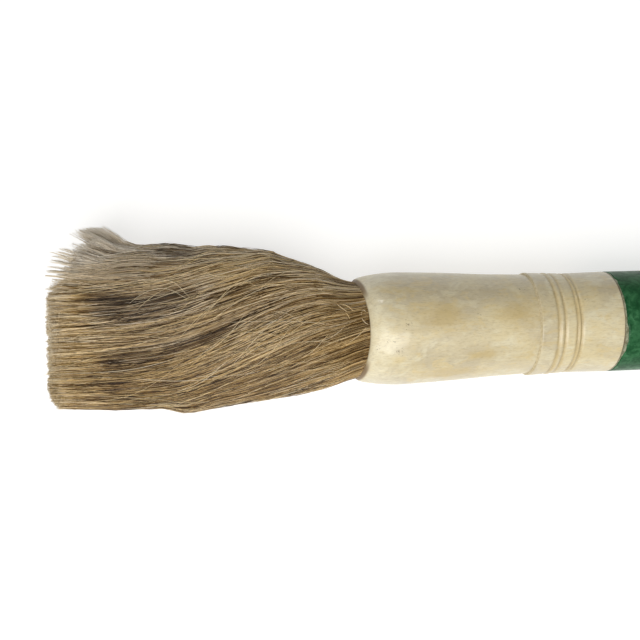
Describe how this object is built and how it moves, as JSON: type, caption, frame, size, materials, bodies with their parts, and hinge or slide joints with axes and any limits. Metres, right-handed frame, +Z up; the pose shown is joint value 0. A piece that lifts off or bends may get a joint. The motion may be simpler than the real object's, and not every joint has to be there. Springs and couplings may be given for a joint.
{
  "type": "paint brush",
  "caption": "Large paint brush lying on its side: blunt tuft of animal hair in a bone ferrule, green stone shaft, ringed bone collars and a finial drilled for a hanging cord.",
  "frame": {"origin": "on the surface that the brush lies on, under the middle of its whole box", "axes": "+X along the brush from the hair to the butt, +Y to the side that the hair splays to, +Z up, away from the table"},
  "size_m": [0.3382, 0.0538, 0.0361],
  "materials": {
    "hair": "dry natural animal hair, light brown with darker streaks",
    "thread": "waxed linen thread",
    "rosin": "hardened pine resin",
    "bone": "turned and polished bone, cream with tan stains",
    "dark_glue": "old glue line, dirty",
    "pale_glue": "pale dried adhesive, chipped",
    "green_stone": "polished mottled green jade-like stone",
    "wood": "plain turned hardwood"
  },
  "bodies": {
    "root": {"cover_hair": "hair", "core_hair": "hair", "root_binding": "thread", "rosin_plug": "rosin", "bone_ferrule": "bone", "ferrule_seam": "dark_glue", "bone_collar": "bone", "front_glue_seam": "pale_glue", "jade_shaft": "green_stone", "front_dowel": "wood", "rear_dowel": "wood", "rear_glue_seam": "pale_glue", "rear_collar": "bone", "end_knob": "bone"}
  },
  "joints": []
}
